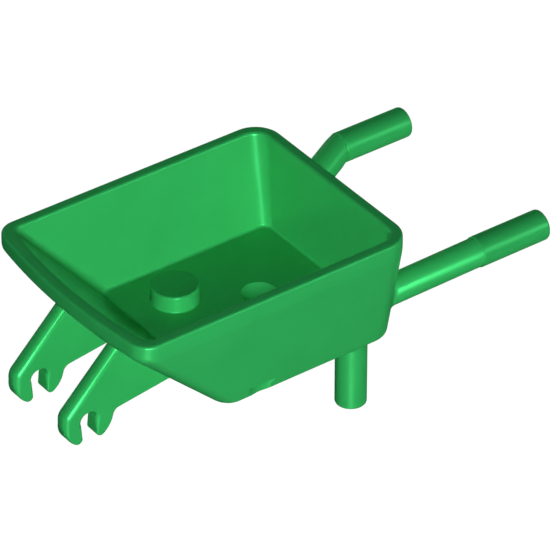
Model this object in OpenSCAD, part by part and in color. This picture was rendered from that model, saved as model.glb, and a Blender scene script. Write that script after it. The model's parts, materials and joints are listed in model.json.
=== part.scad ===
// Toy wheelbarrow frame, moulded in one plastic: a tray with a rolled rim on two round legs, two
// splayed round handles behind, and a fork in front whose two clips snap down over a wheel's axle.
// Millimetres. +Z is up, the legs stand on z = 0, the fork points to -Y and the handles to +Y.
// The barrow's own left side, seen by whoever pushes it, is +X.

/* [Tray] */
// Height of the tray, from its underside to the top of the rim
tray_h = 12.85; // [11.5:0.05:15.6]
// Width of the tray's underside
tray_bottom_w = 20; // [18:0.1:24]
// Width across the rim
tray_top_w = 24.9; // [24.5:0.1:30]
// Length of the tray's underside
tray_bottom_l = 20.6; // [17.1:0.1:25]
// Lean of the front wall from vertical at the middle of the tray, in degrees
front_lean = 47; // [42:0.1:51]
// Thickness of the floor
floor_t = 3; // [2.5:0.1:3.6]
// Thickness of the side walls where they meet the floor
side_foot_t = 1.65; // [1.3:0.05:2]
// Thickness of the front and rear walls where they meet the floor
end_foot_t = 1.95; // [1.6:0.05:2.4]

/* [Rim] */
// Thickness of the rim
rim_t = 1.2; // [1:0.05:1.5]
// Height of the upright band that the rim forms outside
rim_band_h = 1.7; // [1.4:0.1:2.1]
// How far the front of the rim bows forward at its middle
rim_bow = 1.1; // [0.8:0.1:1.4]
// Outer radius of the rim's rear corners
rim_rear_r = 2.9; // [2.4:0.1:3.5]
// Outer radius of the rim's front corners
rim_front_r = 2.1; // [1.8:0.1:2.5]
// Outer radius of the rear corners at the tray's underside
rear_foot_r = 2.7; // [2.2:0.1:3.2]
// Outer radius of the front corners at the tray's underside
front_foot_r = 1.8; // [1.5:0.1:2.2]
// Radius of the corners of the floor inside the tray
floor_corner_r = 1.1; // [0.9:0.1:1.3]

/* [Legs and handles] */
// Diameter of the legs and the grips
bar_d = 3.18; // [2.6:0.01:3.9]
// Diameter of the handles, a little less so that each grip begins with a small step
handle_d = 3; // [2.5:0.05:3.05]
// Height of the tray's underside above the ground
leg_h = 7.1; // [5.9:0.1:8.6]
// Distance from the rear wall's outer face to the legs' axis
leg_setback = 4.45; // [4:0.05:5.4]
// Distance between the handles' axes where they leave the rear wall
handle_root_w = 16.5; // [14:0.1:17]
// Height of the handles' axes above the tray's underside where they leave the wall
handle_root_rise = 4; // [3.3:0.1:4.8]
// Distance between the axes of the two grips
grip_w = 22.2; // [18.5:0.1:26.7]
// Height of the grips' axes above the tray's underside
grip_rise = 6.75; // [5.6:0.05:8.1]
// Distance from the rear wall back to the bend where a handle becomes a grip
handle_run = 8.5; // [7:0.1:10.2]
// Length of a grip behind the bend
grip_l = 8.1; // [6.7:0.1:9.8]

/* [Fork] */
// Distance between the middles of the two fork arms
fork_w = 8.4; // [7:0.1:10.1]
// Thickness of a fork arm and of its clip
arm_t = 1.8; // [1.5:0.05:2.2]
// Distance from the axle's centre back to the tray's lower front edge
axle_reach = 12.2; // [10.2:0.1:14.7]
// Height of the axle's centre above the tray's underside
axle_rise = 1.05; // [0.8:0.05:1.3]
// Radius of the bend where the front edge turns down into the clip
arm_bend_r = 1.5; // [1.2:0.1:1.8]
// Slope of the arm's front edge, in degrees
arm_front_slope = 45; // [42:1:48]
// Height at which the line of the front edge passes over the axle's centre
arm_front_h = 3.85; // [3.5:0.05:4.3]
// Slope of the arm's lower edge, in degrees
arm_low_slope = 6.8; // [5.6:0.1:8.2]

/* [Axle clips] */
// Outer diameter of a clip
clip_d = 5.6; // [5:0.1:6.4]
// Diameter of the seat that holds the axle
seat_d = 1.8; // [1.5:0.05:2.2]
// Width of the mouth, as a share of the seat's diameter
mouth_share = 0.89; // [0.8:0.01:0.95]
// Radius of the rounded finger tips
tip_r = 0.65; // [0.5:0.05:0.75]

/* [Stud, dimple and notches] */
// Diameter of the load stud on the floor
stud_d = 4.8; // [4:0.1:5.8]
// Height of the load stud
stud_h = 1.8; // [1.5:0.1:2.2]
// Distance of the stud to the right of the tray's centre line
stud_offset = 4; // [3.3:0.1:4.8]
// Distance from the tray's lower front edge back to the stud
stud_setback = 4.05; // [3.3:0.05:4.9]
// Diameter of the dished dimple in the floor
dimple_d = 3.7; // [3:0.1:4.4]
// Depth of the dimple at its middle
dimple_depth = 0.65; // [0.4:0.05:1]
// Distance from the stud back to the dimple
dimple_setback = 7.2; // [6.5:0.1:8.6]
// Diameter of the upright round cutter that hollows the lower edge of each side
notch_d = 4.8; // [4:0.1:5.6]
// How deep the notches go into the sides, at half their height
notch_depth = 0.45; // [0.3:0.05:0.6]
// Height of the notches
notch_h = 1.35; // [1.1:0.05:1.6]
// Distance from the tray's lower front edge back to the notches
notch_setback = 4.2; // [3.5:0.1:5]

/* [Hidden] */
$fn = 64;
LEFT = 1;
RIGHT = -1;

// Steps in each arc of an outline
arc_steps = 9;
// Thickness of the slabs that a tapering body is stretched between
slab = 0.01;
// How far tapering bodies and cutters run past the faces they make
past = 1;
// Half the size of the largest cutters
far = 60;

// Heights
floor_z = leg_h + floor_t;
rim_z = leg_h + tray_h;
band_z = rim_z - rim_band_h;
axle_z = leg_h + axle_rise;
handle_root_z = leg_h + handle_root_rise;
grip_z = leg_h + grip_rise;

// Places along Y, from the front of the clips to the ends of the grips, centred on y = 0
clip_r = clip_d / 2;
overall_l = clip_r + axle_reach + tray_bottom_l + handle_run + grip_l;
axle_y = clip_r - overall_l / 2;
tray_front_y = axle_y + axle_reach;
tray_rear_y = tray_front_y + tray_bottom_l;
bend_y = tray_rear_y + handle_run;
leg_y = tray_rear_y - leg_setback;
stud_y = tray_front_y + stud_setback;
dimple_y = stud_y + dimple_setback;
notch_y = tray_front_y + notch_setback;
// Radius of the ball that leaves the dimple's hollow
dimple_ball_r = (pow(dimple_d / 2, 2) + pow(dimple_depth, 2)) / (2 * dimple_depth);

// Tapers of the tray's outside, in millimetres sideways or forward for each millimetre of height
side_draft = (tray_top_w - tray_bottom_w) / 2 / (band_z - leg_h);
front_draft = tan(front_lean);

// The circle that bows the front of the rim
bow_y = outer_front_y(band_z);
bow_r = (pow(tray_top_w / 2, 2) + pow(rim_bow, 2)) / (2 * rim_bow);
bow_centre_y = bow_y + bow_r;

// The floor's outline inside the tray
floor_half_w = outer_half_w(floor_z) - side_foot_t;
floor_front_y = outer_front_y(floor_z) + end_foot_t;
floor_rear_y = tray_rear_y - end_foot_t;

bar_r = bar_d / 2;
leg_x = tray_bottom_w / 2 - bar_r;
notch_x = outer_half_w(leg_h + notch_h / 2) + notch_d / 2 - notch_depth;
mouth_w = mouth_share * seat_d;

function outer_half_w(z) = tray_bottom_w / 2 + side_draft * (z - leg_h);
function outer_front_y(z) = tray_front_y - front_draft * (z - leg_h);
// Points along an arc, with angles in degrees
function arc(centre, r, from, to) =
    [for (i = [0:arc_steps]) let (a = from + (to - from) * i / arc_steps)
        centre + r * [cos(a), sin(a)]];

// A rectangle with round corners, larger or smaller in front than behind
function box_outline(half_w, front_y, rear_y, front_r, rear_r) = concat(
    arc([half_w - rear_r, rear_y - rear_r], rear_r, 0, 90),
    arc([rear_r - half_w, rear_y - rear_r], rear_r, 90, 180),
    arc([front_r - half_w, front_y + front_r], front_r, 180, 270),
    arc([half_w - front_r, front_y + front_r], front_r, 270, 360));

// The rim's outline, drawn in by inset: its front corners run smoothly into the bowed front
function rim_outline(inset) =
    let (half_w = tray_top_w / 2 - inset)
    let (rear_y = tray_rear_y - inset)
    let (rear_r = rim_rear_r - inset)
    let (front_r = rim_front_r - inset)
    let (rear_x = half_w - rear_r)
    let (front_x = half_w - front_r)
    let (front_y = bow_centre_y - sqrt(pow(bow_r - rim_front_r, 2) - pow(front_x, 2)))
    let (bow_half = asin(front_x / (bow_r - rim_front_r)))
    concat(arc([rear_x, rear_y - rear_r], rear_r, 0, 90),
           arc([-rear_x, rear_y - rear_r], rear_r, 90, 180),
           arc([-front_x, front_y], front_r, 180, 270 - bow_half),
           arc([0, bow_centre_y], bow_r - inset, 270 - bow_half, 270 + bow_half),
           arc([front_x, front_y], front_r, 270 + bow_half, 360));

// A thin slab of an outline, for one level of a tapering body
module level(z, outline) {
    translate([0, 0, z])
        linear_extrude(slab)
            polygon(outline);
}

// The solid that the tray's walls and floor are cut from, past both ends of its height
module outer_body() {
    low = leg_h - past;
    hull() {
        level(low, box_outline(outer_half_w(low), outer_front_y(low), tray_rear_y,
                               front_foot_r, rear_foot_r));
        level(band_z, rim_outline(0));
    }
}

// The hollow of the tray, from just below the floor's surface to just above the rim
module cavity() {
    hull() {
        level(floor_z - slab, box_outline(floor_half_w, floor_front_y, floor_rear_y,
                                          floor_corner_r, floor_corner_r));
        level(rim_z, rim_outline(rim_t));
    }
}

// Everything between two heights
module between(z0, z1) {
    translate([-far, -far, z0])
        cube([2 * far, 2 * far, z1 - z0]);
}

// The ring of walls between the floor and the rim
module wall_ring() {
    intersection() {
        difference() {
            outer_body();
            cavity();
        }
        between(floor_z, band_z);
    }
}

// The walls part from each other at an upright plane behind the side walls, and at a leaning plane
// ahead of them. This is the block of space that the side walls have to themselves.
side_rear_y = tray_rear_y - rim_rear_r - rim_t;
side_front_y = outer_front_y(floor_z) + rim_front_r + end_foot_t;
side_lean = front_draft * (band_z - floor_z);

// A block with that outline in Y and Z, reaching from one X to another
module lengthwise_block(from_x, to_x, outline) {
    translate([from_x, 0, 0])
        rotate([90, 0, 90])
            linear_extrude(to_x - from_x)
                polygon(outline);
}

module tray_floor() {
    color("#2a9b4c")
        difference() {
            intersection() {
                outer_body();
                between(leg_h, floor_z);
            }
            for (side = [LEFT, RIGHT])
                translate([side * notch_x, notch_y, leg_h - past])
                    cylinder(h = notch_h + past, d = notch_d);
            translate([0, dimple_y, floor_z - dimple_depth + dimple_ball_r])
                sphere(dimple_ball_r);
        }
}

module front_wall() {
    color("#1f7a3b")
        intersection() {
            wall_ring();
            lengthwise_block(-far, far,
                             [[-far, floor_z], [side_front_y, floor_z],
                              [side_front_y - side_lean, band_z], [-far, band_z]]);
        }
}

module rear_wall() {
    color("#268f46")
        intersection() {
            wall_ring();
            lengthwise_block(-far, far,
                             [[side_rear_y, floor_z], [far, floor_z],
                              [far, band_z], [side_rear_y, band_z]]);
        }
}

module side_wall(side) {
    color("#2a9b4c")
        intersection() {
            wall_ring();
            lengthwise_block(side == LEFT ? 0 : -far, side == LEFT ? far : 0,
                             [[side_front_y, floor_z], [side_rear_y, floor_z],
                              [side_rear_y, band_z], [side_front_y - side_lean, band_z]]);
        }
}

module rim() {
    color("#31b25a")
        difference() {
            translate([0, 0, band_z])
                linear_extrude(rim_band_h)
                    polygon(rim_outline(0));
            cavity();
        }
}

module load_stud() {
    color("#3fc96b")
        translate([-stud_offset, stud_y, floor_z])
            cylinder(h = stud_h, d = stud_d);
}

// A flat plate in the plane of one fork arm, from an outline in Y and Z about the axle's centre
module fork_plate(side) {
    translate([side * fork_w / 2 - arm_t / 2, axle_y, axle_z])
        rotate([90, 0, 90])
            linear_extrude(arm_t)
                children();
}

// The arm's edges about the axle's centre: the heights of the front and the lower edge at y
front_rise = tan(arm_front_slope);
low_rise = tan(arm_low_slope);
function front_edge_z(y) = arm_front_h + front_rise * y;
function low_edge_z(y) = low_rise * (y - clip_r);

// The arm meets its clip at a shoulder, the line that touches the clip's circle and falls to the
// rear at 45 degrees
shoulder = clip_r * sqrt(2);
shoulder_top_y = (shoulder - arm_front_h) / (1 + front_rise);
shoulder_low_y = (shoulder + low_rise * clip_r) / (1 + low_rise);
shoulder_top = [shoulder_top_y, front_edge_z(shoulder_top_y)];
shoulder_low = [shoulder_low_y, low_edge_z(shoulder_low_y)];

// The arm runs on into the tray's body and is cut off at its face. Both edges end inside the wall.
arm_top_y = (shoulder_top_y + axle_reach) / 2;
arm_top = [arm_top_y, front_edge_z(arm_top_y)];
arm_low = [axle_reach, low_edge_z(axle_reach)];

module fork_arm(side) {
    color("#2da350")
        difference() {
            fork_plate(side)
                polygon([shoulder_top, shoulder_low, arm_low, arm_top]);
            outer_body();
        }
}

// A clip: two fingers round a seat that opens downward
module axle_clip(side) {
    tip_y = mouth_w / 2 + tip_r;
    tip_drop = sqrt(pow(clip_r - tip_r, 2) - pow(tip_y, 2));
    tip_angle = atan2(tip_drop, tip_y);
    turn_y = arm_bend_r - clip_r;
    turn_z = front_edge_z(turn_y) - arm_bend_r / cos(arm_front_slope);
    rear_finger = concat(arc([tip_y, -tip_drop], tip_r, -180, -tip_angle),
                         arc([0, 0], clip_r, -tip_angle, 0));
    front_finger = concat(arc([turn_y, turn_z], arm_bend_r, 90 + arm_front_slope, 180),
                          arc([0, 0], clip_r, 180, 180 + tip_angle),
                          arc([-tip_y, -tip_drop], tip_r, 180 + tip_angle, 360));
    color("#35b85f")
        fork_plate(side)
            difference() {
                polygon(concat([[mouth_w / 2, 0]], rear_finger, [shoulder_low, shoulder_top],
                               front_finger, [[-mouth_w / 2, 0]]));
                circle(d = seat_d);
            }
}

// Points a +Z shape along direction d
module along_direction(d) {
    rotate([0, acos(d.z / norm(d)), atan2(d.y, d.x)])
        children();
}

// The bar of a handle from one point to another, run past both of them
module long_bar(from, to) {
    direction = to - from;
    run_on = handle_d;
    translate(from)
        along_direction(direction)
            translate([0, 0, -run_on])
                cylinder(h = norm(direction) + 2 * run_on, d = handle_d);
}

function root(side) = [side * handle_root_w / 2, tray_rear_y, handle_root_z];
function bend(side) = [side * grip_w / 2, bend_y, grip_z];

// A handle's splayed part, let into the tray's rear corner and cut off square behind, where its
// grip begins
module handle(side) {
    color("#3edc6e")
        difference() {
            long_bar(root(side), bend(side));
            outer_body();
            translate([-far, bend_y, -far])
                cube(2 * far);
        }
}

// A handle's level end, which the hands hold
module grip(side) {
    color("#30b95a")
        translate(bend(side))
            rotate([-90, 0, 0])
                cylinder(h = grip_l, r = bar_r);
}

module leg(side) {
    color("#37c362")
        translate([side * leg_x, leg_y, 0])
            cylinder(h = leg_h, r = bar_r);
}

tray_floor();
front_wall();
rear_wall();
side_wall(LEFT);  // left_wall
side_wall(RIGHT);  // right_wall
rim();
load_stud();
fork_arm(LEFT);  // left_fork_arm
fork_arm(RIGHT);  // right_fork_arm
axle_clip(LEFT);  // left_axle_clip
axle_clip(RIGHT);  // right_axle_clip
handle(LEFT);  // left_handle
handle(RIGHT);  // right_handle
grip(LEFT);  // left_grip
grip(RIGHT);  // right_grip
leg(LEFT);  // left_leg
leg(RIGHT);  // right_leg
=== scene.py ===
"""Looks of the toy wheelbarrow frame: one glossy green moulding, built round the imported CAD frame.

Lengths in the functions are millimetres in the frame's axes: +Y points back to the grips, +X is the
barrow's left and +Z is up. mesh_piece() turns them into metres.
"""

import json
import math

import bmesh
import bpy
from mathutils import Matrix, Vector
from mathutils.bvhtree import BVHTree


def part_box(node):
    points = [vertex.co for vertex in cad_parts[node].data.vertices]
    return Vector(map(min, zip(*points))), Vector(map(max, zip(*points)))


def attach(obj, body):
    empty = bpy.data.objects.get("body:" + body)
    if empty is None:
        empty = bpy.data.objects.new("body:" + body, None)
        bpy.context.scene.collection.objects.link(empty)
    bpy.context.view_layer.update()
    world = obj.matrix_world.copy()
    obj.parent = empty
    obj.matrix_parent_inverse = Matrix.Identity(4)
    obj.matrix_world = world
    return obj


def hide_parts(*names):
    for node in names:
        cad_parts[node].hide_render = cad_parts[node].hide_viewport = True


MM = 0.001
LEFT = 1
RIGHT = -1
SIDE_NAMES = {LEFT: "left", RIGHT: "right"}

# Steps of the curved stretches
FILLET_STEPS = 6
CORNER_STEPS = 14
BOW_STEPS = 28
EDGE_STEPS = 6
BAR_SIDES = 72
STUD_SIDES = 96

# The tray's details that no box gives
RIM_T = 1.2
SIDE_FOOT_T = 1.65
END_FOOT_T = 1.95
RIM_BOW = 1.1
RIM_FRONT_R = 2.1
RIM_REAR_R = 2.9
LOW_FRONT_R = 1.8
LOW_REAR_R = 2.7
FLOOR_R = 1.1
FLAT_BOW = 0.0005
FLAT_INSET = 1.0
UNDERSIDE_ROUND = 0.55
CREASE_ROUND = 0.5
RIM_ROUND = 0.34
FLOOR_ROUND = 0.3

# Dimple, notches and stud
DIMPLE_R = 1.85
DIMPLE_DEPTH = 0.65
DIMPLE_BACK_OF_STUD = 7.2
DIMPLE_FOOT_ANGLE = -89
DIMPLE_TOP_ANGLE = -30
NOTCH_R = 2.4
NOTCH_DEPTH = 0.45
NOTCH_H = 1.35
NOTCH_SETBACK = 4.2
NOTCH_ROUND = 0.2
CUTTER_REACH = 1
CUTTER_CAP_R = 0.05
STUD_ROUND = 0.22
STUD_FILLET = 0.12
STUD_SINK = 0.3

# Fork arms and clips
FRONT_SLOPE = 45.0
FRONT_H = 3.85
LOW_SLOPE = 6.8
TURN_R = 1.5
TIP_R = 0.5
MOUTH_SHARE = 0.89
CLIP_FILLET = 0.8
FORK_SINK = 0.6

# How far the edges of the fork's plates are rounded
FRONT_EDGE_ROUND = 0.75
LOWER_EDGE_ROUND = 0.4
CLIP_ROUND = 0.15
MOUTH_ROUND = 0.45
SEAT_ROUND = 0.06

# Bars
HANDLE_R = 1.5
HANDLE_RUN = 8.5
HANDLE_ROOT_X = 8.25
HANDLE_ROOT_RISE = 4.0
GRIP_L = 8.1
ROOT_FILLET = 0.55
LEG_FILLET = 0.3
ROOT_SINK = 0.4
SKIN_SINK = 0.01
SEAM_ROUND = 0.06
SEAM_STEP = 0.03
GRIP_END_ROUND = 0.3
FOOT_ROUND = 0.18
SHOULDER = 0.08
BAR_STEP = 1.0

# Angles above which an edge is shaded sharp, in degrees
TRAY_SHARP = 42
STUD_SHARP = 60
FORK_SHARP = 50

# Moulded plastic: colours, sizes of its marks in millimetres, and their strengths
GREEN = (0.026, 0.375, 0.088, 1)
PALE_GREEN = (0.029, 0.400, 0.097, 1)
FLOW_SIZE = 4.0
SMEAR_SIZE = 1.8
GRAIN_SIZE = 0.12
SINK_SIZE = 2.6
LEAST_ROUGH = 0.28
MOST_ROUGH = 0.34
PLASTIC_IOR = 1.6
SHEEN_TINT = (0.1, 1.0, 0.3, 1)
GRAIN_HEIGHT = 0.001
SINK_HEIGHT = 0.02
BUMP_STRENGTH = 0.5

# Camera: angles in degrees, lengths in millimetres
AZIMUTH = 54.0
ELEVATION = 35.62
CAMERA_DISTANCE = 501.0
FOCAL_LENGTH = 334.2
SENSOR_WIDTH = 36.0
AIM_RIGHT = 2.86
AIM_UP = 10.49
AIM_BACK = -1.5

# Studio
WHITE = (1, 1, 1, 1)
FLOOR_GREY = (0.05, 0.05, 0.05, 1)
FLOOR_HALF_W = 2000
LAMP_DISTANCE = 400
LAMP_AIM = Vector((0, -3, 11))


def millimetre_box(node):
    """The lowest and highest corner of a CAD node, in millimetres."""
    low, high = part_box(node)
    return low / MM, high / MM


def mesh_piece(name, points, faces, replaced):
    """Makes a smooth-shaded object of millimetre points that stands for the replaced CAD nodes."""
    mesh = bpy.data.meshes.new(name)
    mesh.from_pydata([Vector(p) * MM for p in points], [], faces)
    mesh.validate()
    piece = bpy.data.objects.new(name, mesh)
    bpy.context.scene.collection.objects.link(piece)
    outward_normals(mesh)
    if replaced:
        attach(piece, "root")
        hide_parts(*replaced)
    return piece


def outward_normals(mesh):
    """Turns every face of a closed mesh outward and shades it smooth."""
    bm = bmesh.new()
    bm.from_mesh(mesh)
    bmesh.ops.recalc_face_normals(bm, faces=bm.faces)
    bm.to_mesh(mesh)
    bm.free()
    mesh.shade_smooth()


def flatten_large_faces(piece, sharp_angle):
    """Keeps flat faces flat beside their rounded edges, and breaks the shading at sharp edges."""
    piece.data.set_sharp_from_angle(angle=math.radians(sharp_angle))
    weighted = piece.modifiers.new("flat_faces", "WEIGHTED_NORMAL")
    weighted.mode = "FACE_AREA"
    weighted.weight = 100
    weighted.keep_sharp = True


def arc(centre, radius, start, end, steps):
    """Points along an arc in a plane, with angles in degrees."""
    turn = [math.radians(start + (end - start) * i / steps) for i in range(steps + 1)]
    return [(centre[0] + radius * math.cos(a), centre[1] + radius * math.sin(a)) for a in turn]


def straight(start, end, steps):
    """The points between two points, without the two themselves."""
    run = (end[0] - start[0], end[1] - start[1])
    return [(start[0] + run[0] * i / steps, start[1] + run[1] * i / steps) for i in range(1, steps)]


def towards(start, end, length):
    """The point that lies a length from start on the way to end."""
    return start + (end - start).normalized() * length


def fillet_rings(before, corner, after, size):
    """Rings that round the corner between three matching rings, tangent to both sides of it."""
    rings = []
    for i in range(FILLET_STEPS + 1):
        t = i / FILLET_STEPS
        ring = []
        for p, c, n in zip(before, corner, after):
            a = towards(c, p, size)
            b = towards(c, n, size)
            ring.append(a * (1 - t) ** 2 + c * (2 * t * (1 - t)) + b * t ** 2)
        rings.append(ring)
    return rings


def skin(rings):
    """The points and faces of a closed solid whose skin runs through rings, with capped ends."""
    count = len(rings[0])
    points = [p for ring in rings for p in ring]
    faces = []
    for k in range(len(rings) - 1):
        for i in range(count):
            j = (i + 1) % count
            faces.append((k * count + i, k * count + j, (k + 1) * count + j, (k + 1) * count + i))
    faces.append(tuple(range(count))[::-1])
    faces.append(tuple(range((len(rings) - 1) * count, len(rings) * count)))
    return points, faces


def lathe(centre, profile, sides):
    """Rings of a turned shape from its profile of (radius, height) points about a vertical axis."""
    turn = [2 * math.pi * i / sides for i in range(sides)]
    rings = []
    for radius, height in profile:
        ring = [(centre[0] + radius * math.cos(a), centre[1] + radius * math.sin(a)) for a in turn]
        rings.append([Vector((x, y, height)) for x, y in ring])
    return rings


class Tray:
    """The tray's outlines, worked out from the boxes of its floor and its rim."""

    def __init__(self):
        floor_low, floor_high = millimetre_box("tray_floor")
        rim_low, rim_high = millimetre_box("rim")
        self.low_z = floor_low.z
        self.floor_z = floor_high.z
        self.band_z = rim_low.z
        self.rim_z = rim_high.z
        self.rear_y = rim_high.y
        self.rim_half_w = rim_high.x
        self.apex_y = rim_low.y
        rise = self.band_z - self.floor_z
        self.side_draft = (rim_high.x - floor_high.x) / rise
        self.front_draft = (floor_low.y - rim_low.y) / rise
        self.low_half_w = self.half_w(self.low_z)
        self.low_front_y = self.front_y(self.low_z)

    def half_w(self, z):
        """Half of the tray's outer width at a height."""
        return self.rim_half_w - self.side_draft * (self.band_z - z)

    def front_y(self, z):
        """Where the middle of the front wall's outside is at a height."""
        return self.apex_y + self.front_draft * (self.band_z - z)

    def wall_y(self, x, z):
        """Where the front wall's outside is at a place across the tray and a height."""
        share = (z - self.low_z) / (self.band_z - self.low_z)
        return self.front_y(z) + share * RIM_BOW * (x / self.rim_half_w) ** 2


def tray_ring(half_w, apex_y, rear_y, front_r, rear_r, bow, z):
    """One level of the tray: straight sides and rear, a bowed front, and four round corners."""
    bow_r = (half_w ** 2 + bow ** 2) / (2 * bow)
    bow_y = apex_y + bow_r
    rear_x = half_w - rear_r
    front_x = half_w - front_r
    front_y = bow_y - math.sqrt((bow_r - front_r) ** 2 - front_x ** 2)
    spread = math.degrees(math.asin(front_x / (bow_r - front_r)))
    outline = arc((rear_x, rear_y - rear_r), rear_r, 0, 90, CORNER_STEPS)
    outline += straight((rear_x, rear_y), (-rear_x, rear_y), EDGE_STEPS)
    outline += arc((-rear_x, rear_y - rear_r), rear_r, 90, 180, CORNER_STEPS)
    outline += straight((-half_w, rear_y - rear_r), (-half_w, front_y), EDGE_STEPS)
    outline += arc((-front_x, front_y), front_r, 180, 270 - spread, CORNER_STEPS)
    outline += arc((0, bow_y), bow_r, 270 - spread, 270 + spread, BOW_STEPS)[1:-1]
    outline += arc((front_x, front_y), front_r, 270 + spread, 360, CORNER_STEPS)
    outline += straight((half_w, front_y), (half_w, rear_y - rear_r), EDGE_STEPS)
    return [Vector((x, y, z)) for x, y in outline]


def tray_rings(tray):
    """The tray's skin, from the middle of its underside round the rim to the middle of its floor."""
    low = tray_ring(tray.low_half_w, tray.low_front_y, tray.rear_y, LOW_FRONT_R, LOW_REAR_R,
                    FLAT_BOW, tray.low_z)
    underside = tray_ring(tray.low_half_w - FLAT_INSET, tray.low_front_y + FLAT_INSET,
                          tray.rear_y - FLAT_INSET, LOW_FRONT_R - FLAT_INSET,
                          LOW_REAR_R - FLAT_INSET, FLAT_BOW, tray.low_z)
    crease = tray_ring(tray.rim_half_w, tray.apex_y, tray.rear_y, RIM_FRONT_R, RIM_REAR_R,
                       RIM_BOW, tray.band_z)
    outer = tray_ring(tray.rim_half_w, tray.apex_y, tray.rear_y, RIM_FRONT_R, RIM_REAR_R,
                      RIM_BOW, tray.rim_z)
    inner = tray_ring(tray.rim_half_w - RIM_T, tray.apex_y + RIM_T, tray.rear_y - RIM_T,
                      RIM_FRONT_R - RIM_T, RIM_REAR_R - RIM_T, RIM_BOW, tray.rim_z)
    floor_half_w = tray.half_w(tray.floor_z) - SIDE_FOOT_T
    floor_front_y = tray.front_y(tray.floor_z) + END_FOOT_T
    floor_rear_y = tray.rear_y - END_FOOT_T
    floor = tray_ring(floor_half_w, floor_front_y, floor_rear_y, FLOOR_R, FLOOR_R,
                      FLAT_BOW, tray.floor_z)
    middle = tray_ring(floor_half_w - FLAT_INSET, floor_front_y + FLAT_INSET,
                       floor_rear_y - FLAT_INSET, FLOOR_R - FLAT_INSET, FLOOR_R - FLAT_INSET,
                       FLAT_BOW, tray.floor_z)
    rings = [underside]
    rings += fillet_rings(underside, low, crease, UNDERSIDE_ROUND)
    rings += fillet_rings(low, crease, outer, CREASE_ROUND)
    rings += fillet_rings(crease, outer, inner, RIM_ROUND)
    rings += fillet_rings(outer, inner, floor, RIM_ROUND)
    rings += fillet_rings(inner, floor, middle, FLOOR_ROUND)
    rings.append(middle)
    return rings


def cutter(name, centre, profile):
    """A turned solid that is taken out of the tray."""
    points, faces = skin(lathe(centre, profile, STUD_SIDES))
    return mesh_piece(name, points, faces, [])


def dimple_profile(tray):
    """The dished dimple: the bottom of a ball that stands in the floor."""
    ball_r = (DIMPLE_R ** 2 + DIMPLE_DEPTH ** 2) / (2 * DIMPLE_DEPTH)
    centre_z = tray.floor_z - DIMPLE_DEPTH + ball_r
    return arc((0, centre_z), ball_r, DIMPLE_FOOT_ANGLE, DIMPLE_TOP_ANGLE, 2 * CORNER_STEPS)


def notch_profile(tray):
    """The shallow round notch in the lower edge of a side, with a softened ceiling."""
    top = tray.low_z + NOTCH_H
    foot = tray.low_z - CUTTER_REACH
    soft_edge = arc((NOTCH_R - NOTCH_ROUND, top - NOTCH_ROUND), NOTCH_ROUND, 0, 90, FILLET_STEPS)
    return [(CUTTER_CAP_R, foot), (NOTCH_R, foot)] + soft_edge + [(CUTTER_CAP_R, top)]


def cut(piece, tools):
    """Takes the tools out of the piece for good and removes them."""
    for tool in tools:
        taken = piece.modifiers.new("cut", "BOOLEAN")
        taken.operation = "DIFFERENCE"
        taken.solver = "EXACT"
        taken.object = tool
    graph = bpy.context.evaluated_depsgraph_get()
    result = bpy.data.meshes.new_from_object(piece.evaluated_get(graph))
    piece.modifiers.clear()
    piece.data = result
    for tool in tools:
        bpy.data.objects.remove(tool)


def make_tray(tray):
    """The floor, the four walls and the rim as one skin, with the dimple and the two notches."""
    points, faces = skin(tray_rings(tray))
    nodes = ["tray_floor", "front_wall", "rear_wall", "left_wall", "right_wall", "rim"]
    piece = mesh_piece("tray_shell", points, faces, nodes)
    stud_low, stud_high = millimetre_box("load_stud")
    dimple_y = (stud_low.y + stud_high.y) / 2 + DIMPLE_BACK_OF_STUD
    tools = [cutter("dimple_tool", (0, dimple_y), dimple_profile(tray))]
    notch_x = tray.half_w(tray.low_z + NOTCH_H / 2) + NOTCH_R - NOTCH_DEPTH
    notch_y = tray.low_front_y + NOTCH_SETBACK
    for side in (LEFT, RIGHT):
        tools.append(cutter("notch_tool", (side * notch_x, notch_y), notch_profile(tray)))
    cut(piece, tools)
    piece.data.shade_smooth()
    flatten_large_faces(piece, TRAY_SHARP)
    return piece


def make_stud():
    """The load stud, with a softened top edge and a small fillet at its foot."""
    low, high = millimetre_box("load_stud")
    centre = ((low.x + high.x) / 2, (low.y + high.y) / 2)
    radius = (high.x - low.x) / 2
    foot_r = radius + STUD_FILLET
    profile = [(foot_r, low.z - STUD_SINK)]
    profile += arc((foot_r, low.z + STUD_FILLET), STUD_FILLET, 270, 180, FILLET_STEPS)
    profile += arc((radius - STUD_ROUND, high.z - STUD_ROUND), STUD_ROUND, 0, 90, FILLET_STEPS)
    points, faces = skin(lathe(centre, profile, STUD_SIDES))
    piece = mesh_piece("stud", points, faces, ["load_stud"])
    flatten_large_faces(piece, STUD_SHARP)
    return piece


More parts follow.
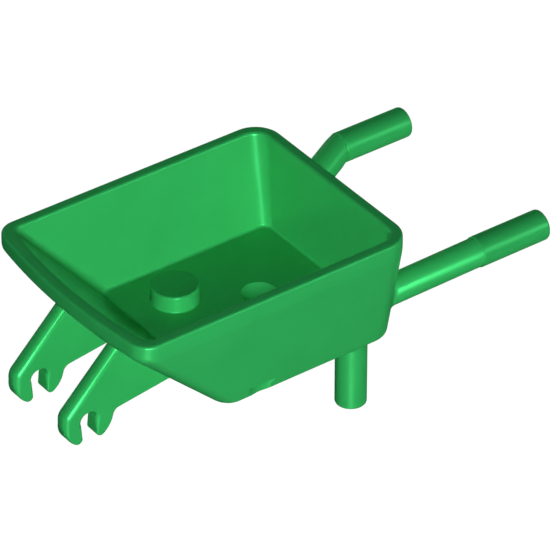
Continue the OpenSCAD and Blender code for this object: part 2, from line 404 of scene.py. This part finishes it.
def fork_outline(tray, side):
    """A fork arm and its clip: the outline's places in Y and Z, how far its edge is rounded at each
    place, and the plate's two faces in X."""
    name = SIDE_NAMES[side]
    clip_low, clip_high = millimetre_box(name + "_axle_clip")
    seat = next(m for m in frame["record"]["mounts"] if m["name"] == name + "_axle_clip")
    axle_y = seat["pos_m"][1] / MM
    axle_z = seat["pos_m"][2] / MM
    seat_r = seat["dims"]["r_mm"]
    clip_r = axle_y - clip_low.y
    arm_x = (clip_low.x + clip_high.x) / 2
    mouth = MOUTH_SHARE * seat_r
    mouth_z = -math.sqrt(seat_r ** 2 - mouth ** 2)
    mouth_angle = math.degrees(math.asin(-mouth_z / seat_r))
    tip_y = mouth + TIP_R
    tip_z = -math.sqrt((clip_r - TIP_R) ** 2 - tip_y ** 2)
    tip_angle = math.degrees(math.atan2(-tip_z, tip_y))

    # The lower edge leaves the clip in a fillet
    along = Vector((math.cos(math.radians(LOW_SLOPE)), math.sin(math.radians(LOW_SLOPE))))
    down = Vector((along.y, -along.x))
    start = Vector((clip_r, 0)) + down * CLIP_FILLET
    reach = start.dot(along)
    run = -reach + math.sqrt(reach ** 2 - start.length_squared + (clip_r + CLIP_FILLET) ** 2)
    hub = start + along * run
    leave_angle = math.degrees(math.atan2(hub.y, hub.x))
    low_angle = 90 + LOW_SLOPE

    # Both long edges run on until they are inside the front wall
    def inside_wall(z):
        return tray.wall_y(arm_x, z + axle_z) + FORK_SINK - axle_y

    front_rise = math.tan(math.radians(FRONT_SLOPE))
    low_rise = math.tan(math.radians(LOW_SLOPE))
    wall_y0 = inside_wall(0)
    wall_rise = inside_wall(1) - wall_y0
    low_end_y = (wall_y0 - wall_rise * low_rise * clip_r) / (1 - wall_rise * low_rise)
    top_end_y = (wall_y0 + wall_rise * FRONT_H) / (1 - wall_rise * front_rise)
    low_end = (low_end_y, low_rise * (low_end_y - clip_r))
    top_end = (top_end_y, FRONT_H + front_rise * top_end_y)

    turn_y = TURN_R - clip_r
    turn_z = FRONT_H + front_rise * turn_y - TURN_R / math.cos(math.radians(FRONT_SLOPE))
    rear = arc((tip_y, tip_z), TIP_R, -180, -tip_angle, CORNER_STEPS)
    rear += arc((0, 0), clip_r, -tip_angle, leave_angle, CORNER_STEPS)[1:]
    rear += arc(hub, CLIP_FILLET, 180 + leave_angle, low_angle, CORNER_STEPS)[1:]
    turn = arc((turn_y, turn_z), TURN_R, 90 + FRONT_SLOPE, 180, CORNER_STEPS)
    front = arc((0, 0), clip_r, 180, 180 + tip_angle, CORNER_STEPS)
    front += arc((-tip_y, tip_z), TIP_R, 180 + tip_angle, 360, CORNER_STEPS)[1:]
    throat = arc((0, 0), seat_r, 180 + mouth_angle, -mouth_angle, 2 * CORNER_STEPS)
    outline = rear + [low_end, top_end] + turn + front + throat
    rounds = [CLIP_ROUND] * len(rear) + [LOWER_EDGE_ROUND] + [FRONT_EDGE_ROUND] * (1 + len(turn))
    for i in range(len(front)):
        rounds.append(max(CLIP_ROUND, FRONT_EDGE_ROUND * (1 - i / CORNER_STEPS)))
    for i in range(len(throat)):
        mouth_share = abs(1 - i / CORNER_STEPS)
        rounds.append(SEAT_ROUND + (MOUTH_ROUND - SEAT_ROUND) * mouth_share)
    places = [(axle_y + y, axle_z + z) for y, z in outline]
    return places, rounds, (clip_low.x, clip_high.x)


def inward_steps(outline):
    """The points of a closed outline, and for each the step that moves it in by 1."""
    count = len(outline)
    points = [Vector(p) for p in outline]
    area = sum(points[i - 1].cross(points[i]) for i in range(count))
    turn = 1 if area > 0 else -1
    steps = []
    for i in range(count):
        before = (points[i] - points[i - 1]).normalized()
        after = (points[(i + 1) % count] - points[i]).normalized()
        along = (before + after).normalized()
        steps.append(Vector((-along.y, along.x)) * turn / max(along.dot(before), 0.5))
    return points, steps


def plate_rings(outline, rounds, x0, x1):
    """The skin of a flat plate between two places in X, with its edge rounded on both faces."""
    points, steps = inward_steps(outline)
    rings = []
    for face, way in ((x1, -1), (x0, 1)):
        half = []
        for k in range(FILLET_STEPS + 1):
            turn = math.radians(90 * k / FILLET_STEPS)
            ring = []
            for p, step, size in zip(points, steps, rounds):
                place = p + step * size * (1 - math.sin(turn))
                ring.append(Vector((face + way * size * (1 - math.cos(turn)), place.x, place.y)))
            half.append(ring)
        rings += half if way < 0 else half[::-1]
    return rings


def make_fork(tray, side):
    """A fork arm with its clip: a flat plate whose edges are rounded on both faces."""
    name = SIDE_NAMES[side]
    outline, rounds, (x0, x1) = fork_outline(tray, side)
    points, faces = skin(plate_rings(outline, rounds, x0, x1))
    piece = mesh_piece(name + "_fork", points, faces, [name + "_fork_arm", name + "_axle_clip"])
    flatten_large_faces(piece, FORK_SHARP)
    return piece


def across(direction):
    """Two unit vectors at right angles to a direction and to each other."""
    side = direction.cross(Vector((0, 0, 1)))
    if side.length < 0.01:
        side = Vector((1, 0, 0))
    side.normalize()
    return side, direction.cross(side).normalized()


def bar_lines(start, direction, radius):
    """The straight lines along a round bar: their outward directions and their points at start."""
    e1, e2 = across(direction)
    turn = [2 * math.pi * i / BAR_SIDES for i in range(BAR_SIDES)]
    outward = [e1 * math.cos(a) + e2 * math.sin(a) for a in turn]
    return outward, [start + o * radius for o in outward]


def on_plane(points, direction, origin, normal):
    """Slides each point along direction until it lies in a plane."""
    return [p + direction * ((origin - p).dot(normal) / direction.dot(normal)) for p in points]


def root_rings(surface, direction, outward, far_ring, size):
    """Rings that end a bar in the tray: a sunk end, a fillet on the tray's surface, and a shoulder
    that keeps the bar evenly shaded. direction points from the bar into the tray."""
    hits = [surface.ray_cast(p, direction)[0] for p in far_ring]
    spread = []
    for hit, away in zip(hits, outward):
        place, normal, _, _ = surface.find_nearest(hit + away * size)
        spread.append(place - normal * SKIN_SINK)
    rings = []
    for i in range(FILLET_STEPS + 1):
        t = i / FILLET_STEPS
        ring = []
        for hit, b in zip(hits, spread):
            a = hit - direction * size
            ring.append(b * (1 - t) ** 2 + hit * (2 * t * (1 - t)) + a * t ** 2)
        rings.append(ring)
    sunk = [hit + direction * ROOT_SINK for hit in hits]
    shoulder = [hit - direction * (size + SHOULDER) for hit in hits]
    return [sunk] + rings + [shoulder]


def end_rings(along_bar, corner, centre, size):
    """Rings that round the edge of a bar's flat end, between two shoulders for even shading."""
    middle = [centre] * len(corner)
    outer = [towards(c, p, size + SHOULDER) for c, p in zip(corner, along_bar)]
    inner = [towards(c, p, size + SHOULDER) for c, p in zip(corner, middle)]
    return [outer] + fillet_rings(along_bar, corner, middle, size) + [inner]


def make_handle(surface, side):
    """The splayed part of a handle, from the tray's rear corner to the grip's front end. Its end
    ring is held within the grip's circle."""
    name = SIDE_NAMES[side]
    bend = bend_point(side)
    direction = (bend - root_point(side)).normalized()
    outward, start = bar_lines(bend, direction, HANDLE_R)
    end = on_plane(start, direction, bend, Vector((0, 1, 0)))
    before = [p - direction * BAR_STEP for p in end]
    _, grip_r, _ = grip_sizes(side)
    corner = [towards(bend, p, min((p - bend).length, grip_r - SEAM_STEP)) for p in end]
    rings = root_rings(surface, -direction, outward, before, ROOT_FILLET)
    rings.append(before)
    rings += end_rings(before, corner, bend, SEAM_ROUND)
    points, faces = skin(rings)
    return mesh_piece(name + "_handle_bar", points, faces, [name + "_handle"])


def grip_sizes(side):
    """A grip's axis place and radius, and its rear end, from its box."""
    low, high = millimetre_box(SIDE_NAMES[side] + "_grip")
    radius = (high.x - low.x) / 2
    return Vector(((low.x + high.x) / 2, 0, high.z - radius)), radius, high.y


def bend_point(side):
    """Where the axis of a handle meets the axis of its grip."""
    axis, _, end_y = grip_sizes(side)
    return Vector((axis.x, end_y - GRIP_L, axis.z))


def root_point(side):
    """Where a handle's axis leaves the plane of the rear wall."""
    low, _ = millimetre_box("tray_floor")
    return Vector((side * HANDLE_ROOT_X, bend_point(side).y - HANDLE_RUN, low.z + HANDLE_ROOT_RISE))


def make_grip(side):
    """The level end of a handle that a hand holds, with both of its ends softened."""
    name = SIDE_NAMES[side]
    _, radius, end_y = grip_sizes(side)
    bend = bend_point(side)
    direction = Vector((0, 1, 0))
    _, corner = bar_lines(bend, direction, radius)
    after = [p + direction * BAR_STEP for p in corner]
    end_centre = Vector((bend.x, end_y, bend.z))
    _, end_corner = bar_lines(end_centre, direction, radius)
    before = [p - direction * BAR_STEP for p in end_corner]
    rings = end_rings(after, corner, bend, SEAM_ROUND)[::-1]
    rings += end_rings(before, end_corner, end_centre, GRIP_END_ROUND)
    points, faces = skin(rings)
    return mesh_piece(name + "_grip_bar", points, faces, [name + "_grip"])


def make_leg(surface, side):
    """A leg, from its softened foot to a fillet on the tray's underside."""
    name = SIDE_NAMES[side]
    low, high = millimetre_box(name + "_leg")
    radius = (high.x - low.x) / 2
    up = Vector((0, 0, 1))
    foot = Vector(((low.x + high.x) / 2, (low.y + high.y) / 2, low.z))
    outward, corner = bar_lines(foot, up, radius)
    above = [p + up * BAR_STEP for p in corner]
    rings = root_rings(surface, up, outward, above, LEG_FILLET)
    rings += end_rings(above, corner, foot, FOOT_ROUND)
    points, faces = skin(rings)
    return mesh_piece(name + "_leg_post", points, faces, [name + "_leg"])


class Nodes:
    """A short way to write a material's nodes and links."""

    def __init__(self, name):
        self.material = bpy.data.materials.new(name)
        self.material.use_nodes = True
        self.tree = self.material.node_tree
        self.shader = self.tree.nodes["Principled BSDF"]
        self.place = self.add("ShaderNodeTexCoord").outputs["Object"]

    def add(self, kind, **inputs):
        """A new node with its inputs set by name."""
        node = self.tree.nodes.new(kind)
        for key, value in inputs.items():
            node.inputs[key.replace("_", " ")].default_value = value
        return node

    def link(self, source, target):
        """Joins one node's output to another's input."""
        self.tree.links.new(source, target)

    def noise(self, size_mm, detail):
        """Noise whose features are about size_mm across, from 0 to 1."""
        node = self.add("ShaderNodeTexNoise", Scale=1 / (size_mm * MM), Detail=detail)
        self.link(self.place, node.inputs["Vector"])
        return node.outputs["Fac"]

    def remap(self, value, low, high, to_low, to_high):
        """Maps a value's range onto another and keeps it inside."""
        node = self.add("ShaderNodeMapRange")
        node.inputs["From Min"].default_value = low
        node.inputs["From Max"].default_value = high
        node.inputs["To Min"].default_value = to_low
        node.inputs["To Max"].default_value = to_high
        self.link(value, node.inputs["Value"])
        return node.outputs["Result"]

    def scaled_sum(self, a, a_share, b, b_share):
        """The sum of two values, each times its own number."""
        total = self.add("ShaderNodeMath")
        for value, share, target in ((a, a_share, total.inputs[0]), (b, b_share, total.inputs[1])):
            scaled = self.add("ShaderNodeMath")
            scaled.operation = "MULTIPLY"
            scaled.inputs[1].default_value = share
            self.link(value, scaled.inputs[0])
            self.link(scaled.outputs[0], target)
        return total.outputs[0]

    def mix_colour(self, share, a, b):
        """A colour between two, from a at 0 to b at 1."""
        node = self.add("ShaderNodeMix")
        node.data_type = "RGBA"
        self.link(share, node.inputs["Factor"])
        node.inputs[6].default_value = a
        node.inputs[7].default_value = b
        return node.outputs[2]


def moulded_green():
    """Glossy moulded plastic: faint flow marks in the colour, uneven gloss, shallow sink marks."""
    n = Nodes("moulded_green")
    flow = n.remap(n.noise(FLOW_SIZE, 3), 0.3, 0.7, 0.0, 1.0)
    n.link(n.mix_colour(flow, GREEN, PALE_GREEN), n.shader.inputs["Base Color"])
    smear = n.remap(n.noise(SMEAR_SIZE, 4), 0.35, 0.65, LEAST_ROUGH, MOST_ROUGH)
    n.link(smear, n.shader.inputs["Roughness"])
    n.shader.inputs["IOR"].default_value = PLASTIC_IOR
    n.shader.inputs["Specular Tint"].default_value = SHEEN_TINT
    grain = n.noise(GRAIN_SIZE, 3)
    sink = n.noise(SINK_SIZE, 2)
    height = n.scaled_sum(grain, GRAIN_HEIGHT, sink, SINK_HEIGHT)
    bump = n.add("ShaderNodeBump", Strength=BUMP_STRENGTH, Distance=MM)
    n.link(height, bump.inputs["Height"])
    n.link(bump.outputs["Normal"], n.shader.inputs["Normal"])
    return n.material


def pale_floor():
    """The plain pale floor, which glows evenly, so it stays pale all over."""
    n = Nodes("pale_floor")
    n.shader.inputs["Base Color"].default_value = FLOOR_GREY
    n.shader.inputs["Roughness"].default_value = 0.9
    n.shader.inputs["Specular IOR Level"].default_value = 0.0
    n.shader.inputs["Emission Color"].default_value = WHITE
    n.shader.inputs["Emission Strength"].default_value = 1.0
    return n.material


def view_axes(azimuth, elevation):
    """The unit vectors to the right, up and back towards a viewer at these angles."""
    a = math.radians(azimuth)
    e = math.radians(elevation)
    back = Vector((math.sin(a) * math.cos(e), -math.cos(a) * math.cos(e), math.sin(e)))
    right = Vector((math.cos(a), math.sin(a), 0))
    return right, back.cross(right), back


def make_camera():
    """A long lens that looks down at the tray from its left front."""
    right, up, back = view_axes(AZIMUTH, ELEVATION)
    data = bpy.data.cameras.new("camera")
    data.lens = FOCAL_LENGTH
    data.sensor_width = SENSOR_WIDTH
    data.clip_start = 0.01
    camera = bpy.data.objects.new("camera", data)
    aim = right * AIM_RIGHT + up * AIM_UP + Vector((0, AIM_BACK, 0))
    camera.location = (aim + back * CAMERA_DISTANCE) * MM
    camera.rotation_mode = "QUATERNION"
    camera.rotation_quaternion = back.to_track_quat("Z", "Y")
    bpy.context.scene.collection.objects.link(camera)
    bpy.context.scene.camera = camera


def make_lamp(name, kind, azimuth, elevation, size, power):
    """A soft square lamp that faces the tray from a direction, in millimetres and watts. The key
    and the sheen lamps cast no shadows. Sheen lamps and cards only show in reflections, and fills
    don't show there."""
    _, _, back = view_axes(azimuth, elevation)
    data = bpy.data.lights.new(name, "AREA")
    data.size = size * MM
    data.energy = power
    data.use_shadow = kind in ("card", "fill")
    lamp = bpy.data.objects.new(name, data)
    lamp.location = (LAMP_AIM + back * LAMP_DISTANCE) * MM
    lamp.rotation_mode = "QUATERNION"
    lamp.rotation_quaternion = back.to_track_quat("Z", "Y")
    lamp.visible_diffuse = kind in ("key", "fill")
    lamp.visible_glossy = kind != "fill"
    bpy.context.scene.collection.objects.link(lamp)


def make_lamps():
    """The key lamp, the lamps and cards that make the sheen, and the fills for the other sides."""
    make_lamp("key", "key", azimuth=62, elevation=13, size=90, power=1.8)
    make_lamp("key_sheen", "sheen", azimuth=60, elevation=5, size=110, power=1.25)
    make_lamp("low_card", "card", azimuth=57, elevation=-36, size=150, power=0.3)
    make_lamp("side_card", "card", azimuth=126, elevation=18, size=150, power=0.38)
    make_lamp("handle_card", "card", azimuth=74, elevation=4, size=200, power=0.9)
    make_lamp("right_fill", "fill", azimuth=262, elevation=6, size=300, power=1.6)
    make_lamp("rear_fill", "fill", azimuth=188, elevation=-4, size=300, power=1.2)
    make_lamp("low_fill", "fill", azimuth=200, elevation=-60, size=300, power=0.7)


def make_floor():
    """A wide pale floor under the object. It doesn't light the object or block the lamps."""
    half = FLOOR_HALF_W
    corners = [(-half, -half, 0), (half, -half, 0), (half, half, 0), (-half, half, 0)]
    mesh = bpy.data.meshes.new("floor")
    mesh.from_pydata([Vector(c) * MM for c in corners], [], [(0, 1, 2, 3)])
    floor = bpy.data.objects.new("floor", mesh)
    bpy.context.scene.collection.objects.link(floor)
    floor.data.materials.append(pale_floor())
    floor.visible_diffuse = False
    floor.visible_glossy = False
    floor.visible_shadow = False


def make_studio():
    """White surroundings that only the camera sees, the floor and the lamps."""
    world = bpy.data.worlds.new("studio")
    world.use_nodes = True
    background = world.node_tree.nodes["Background"]
    background.inputs["Color"].default_value = WHITE
    background.inputs["Strength"].default_value = 1.0
    world.cycles_visibility.diffuse = False
    world.cycles_visibility.glossy = False
    bpy.context.scene.world = world
    make_floor()
    make_lamps()
    bpy.context.scene.view_settings.view_transform = "Standard"


def surface_of(piece):
    """A search tree of a piece's skin, in millimetres."""
    points = [v.co / MM for v in piece.data.vertices]
    return BVHTree.FromPolygons(points, [tuple(p.vertices) for p in piece.data.polygons])


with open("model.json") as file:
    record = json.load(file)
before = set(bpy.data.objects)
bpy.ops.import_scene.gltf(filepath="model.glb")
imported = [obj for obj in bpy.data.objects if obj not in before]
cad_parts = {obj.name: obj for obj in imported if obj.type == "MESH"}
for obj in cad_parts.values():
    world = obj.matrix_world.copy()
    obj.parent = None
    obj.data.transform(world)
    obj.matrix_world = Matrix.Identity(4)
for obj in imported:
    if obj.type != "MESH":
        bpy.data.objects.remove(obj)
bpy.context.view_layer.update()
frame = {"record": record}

tray = Tray()
tray_piece = make_tray(tray)
skin_of_tray = surface_of(tray_piece)
pieces = [tray_piece, make_stud()]
for side in (LEFT, RIGHT):
    pieces.append(make_fork(tray, side))
    pieces.append(make_handle(skin_of_tray, side))
    pieces.append(make_grip(side))
    pieces.append(make_leg(skin_of_tray, side))
green = moulded_green()
for piece in pieces:
    piece.data.materials.clear()
    piece.data.materials.append(green)
make_studio()
make_camera()
